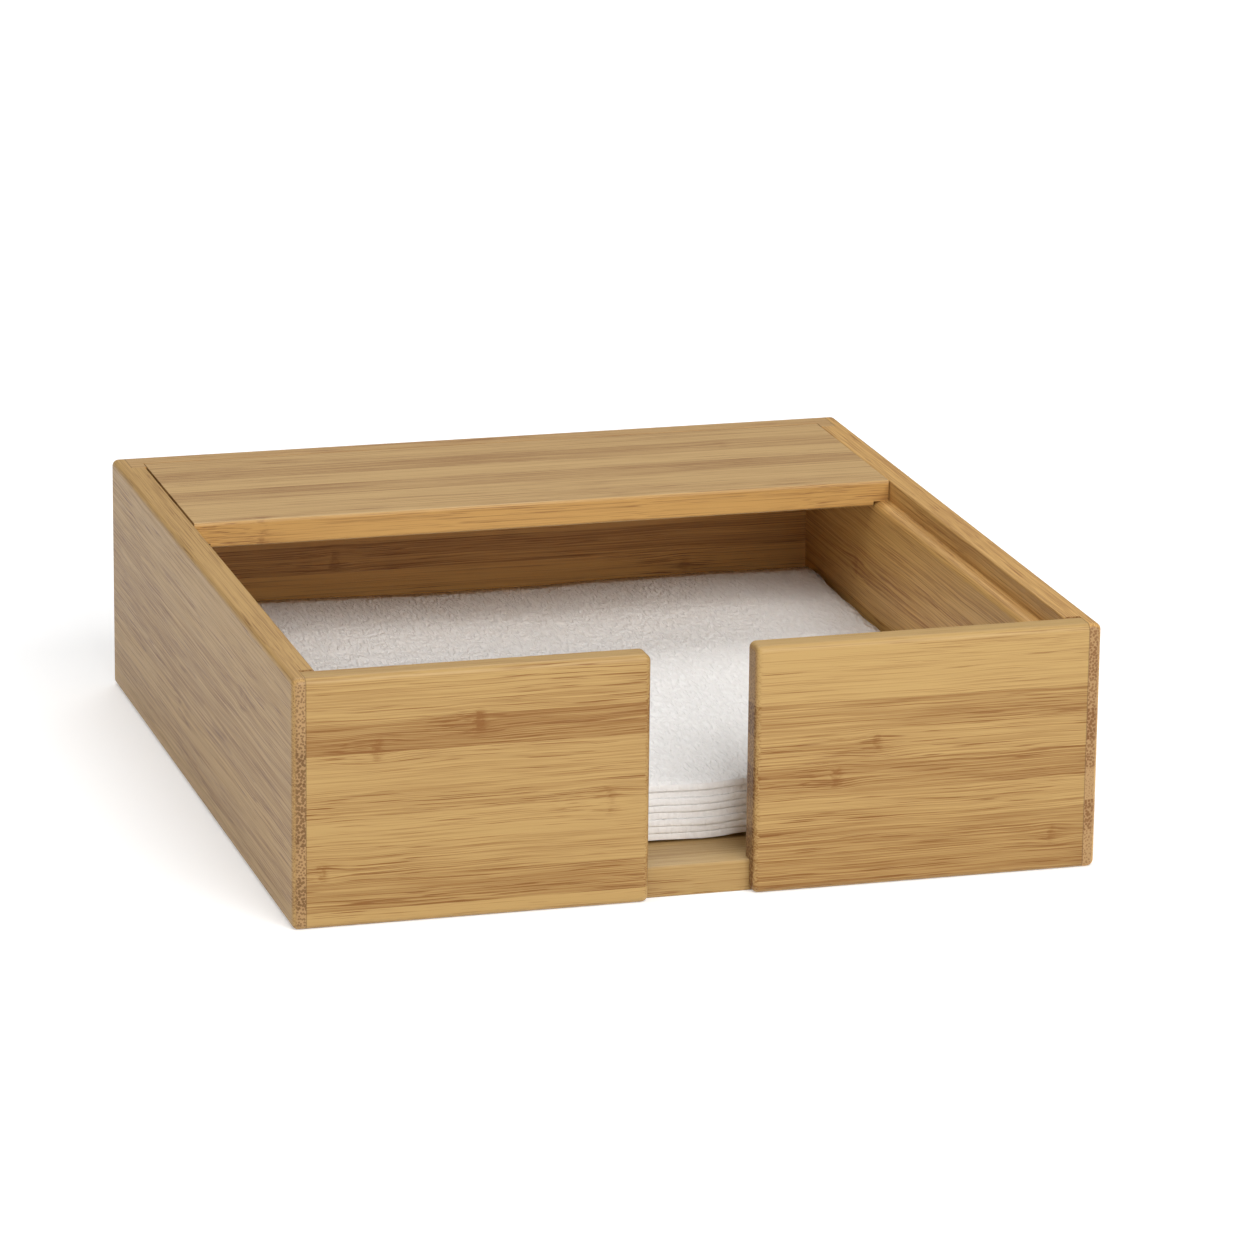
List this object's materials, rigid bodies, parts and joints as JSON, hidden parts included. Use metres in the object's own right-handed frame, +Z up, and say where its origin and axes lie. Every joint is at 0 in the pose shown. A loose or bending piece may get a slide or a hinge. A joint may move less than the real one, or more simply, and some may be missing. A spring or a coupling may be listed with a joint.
{
  "type": "napkin box",
  "caption": "Low open bamboo napkin box with a full-height thumb slot in the front, a flush sliding cover panel at the rear, and a stack of folded paper napkins on its base.",
  "frame": {"origin": "middle of the underside, on the table", "axes": "+X to the right as seen from the thumb slot, +Y from the slotted front to the back wall, +Z up"},
  "size_m": [0.19, 0.2, 0.0585],
  "materials": {
    "bamboo_left_side": "satin oiled bamboo, laminated from strips",
    "bamboo_right_side": "satin oiled bamboo, laminated from strips",
    "bamboo_back": "satin oiled bamboo, laminated from strips",
    "bamboo_front_left": "satin oiled bamboo, laminated from strips",
    "bamboo_front_right": "satin oiled bamboo, laminated from strips",
    "bamboo_base": "satin oiled bamboo, laminated from strips",
    "bamboo_cover": "satin oiled bamboo, laminated from strips",
    "napkin_paper": "soft embossed tissue"
  },
  "bodies": {
    "case": {"left_side_wall": "bamboo_left_side", "right_side_wall": "bamboo_right_side", "back_wall": "bamboo_back", "front_left_board": "bamboo_front_left", "front_right_board": "bamboo_front_right", "base_panel": "bamboo_base"},
    "cover": {"cover_panel": "bamboo_cover"},
    "napkins": {"napkin_1": "napkin_paper", "napkin_2": "napkin_paper", "napkin_3": "napkin_paper", "napkin_4": "napkin_paper", "napkin_5": "napkin_paper", "napkin_6": "napkin_paper", "napkin_7": "napkin_paper"},
    "top_napkin": {"top_napkin": "napkin_paper"}
  },
  "joints": [
    {"name": "cover_slide", "type": "slide", "parent": "case", "child": "cover", "axis": [0, -1, 0], "range_m": [0, 0.1255]},
    {"name": "napkins_lift", "type": "slide", "parent": "case", "child": "napkins", "axis": [0, 0, 1], "range_m": [0, 0.0135]},
    {"name": "top_napkin_lift", "type": "slide", "parent": "napkins", "child": "top_napkin", "axis": [0, 0, 1], "range_m": [0, 0.0135]}
  ]
}
